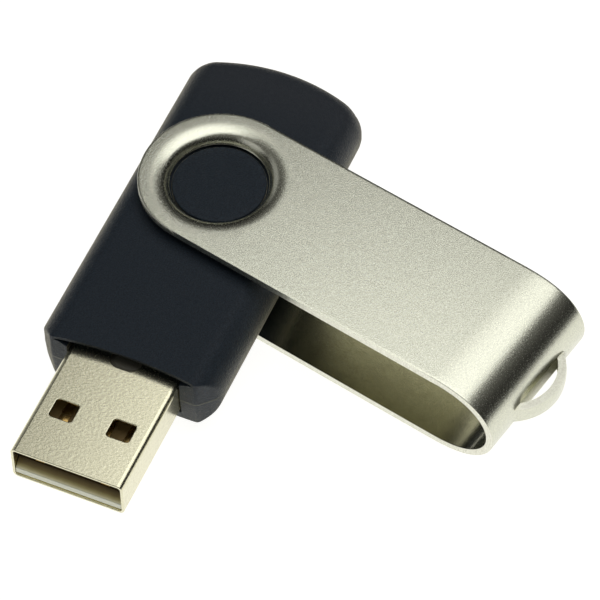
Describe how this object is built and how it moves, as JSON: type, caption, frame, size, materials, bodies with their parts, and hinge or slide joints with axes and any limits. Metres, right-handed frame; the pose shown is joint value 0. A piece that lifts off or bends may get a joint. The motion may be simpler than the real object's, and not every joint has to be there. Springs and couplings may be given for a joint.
{
  "type": "usb flash drive",
  "caption": "Flash drive with a type A plug on a two-shell soft-touch case, and a bent steel cover that swivels all the way round on the case's bosses.",
  "frame": {"origin": "centre of the lower pivot boss's flat face, on the axis the cover swivels about", "axes": "+Z along the swivel axis, up through the case's thickness; +X from the pivot towards the plug's mouth; +Y across the case"},
  "size_m": [0.0536, 0.0501, 0.0104],
  "materials": {
    "soft_touch_plastic": "soft-touch matte coating, dark navy charcoal",
    "satin_steel": "satin pearl nickel over fine bead blasting",
    "nickel_plate": "semi-bright nickel plate, fine rolled texture",
    "white_nylon": "moulded, semi-gloss",
    "contact_gold": "gold flash",
    "circuit_board": "green solder mask",
    "chip_epoxy": "moulded epoxy",
    "tinned_can": "tinned",
    "capacitor_ceramic": "fired, tinned ends"
  },
  "bodies": {
    "case": {"top_shell": "soft_touch_plastic", "bottom_shell": "soft_touch_plastic", "plug_shell": "nickel_plate", "plug_insulator": "white_nylon", "contact_vbus": "contact_gold", "contact_data_minus": "contact_gold", "contact_data_plus": "contact_gold", "contact_ground": "contact_gold", "circuit_board": "circuit_board", "flash_memory": "chip_epoxy", "controller_chip": "chip_epoxy", "crystal": "tinned_can", "voltage_regulator": "chip_epoxy", "input_capacitor": "capacitor_ceramic", "output_capacitor": "capacitor_ceramic", "crystal_capacitor_1": "capacitor_ceramic", "crystal_capacitor_2": "capacitor_ceramic", "flash_capacitor": "capacitor_ceramic", "core_capacitor": "capacitor_ceramic", "data_resistor_minus": "chip_epoxy", "data_resistor_plus": "chip_epoxy", "pull_up_resistor": "chip_epoxy"},
    "cover": {"swivel_cover": "satin_steel"}
  },
  "joints": [
    {"name": "cover_swivel", "type": "hinge", "parent": "case", "child": "cover", "pos_m": [0, 0, 0.00407], "axis": [0, 0, 1], "continuous": true}
  ]
}
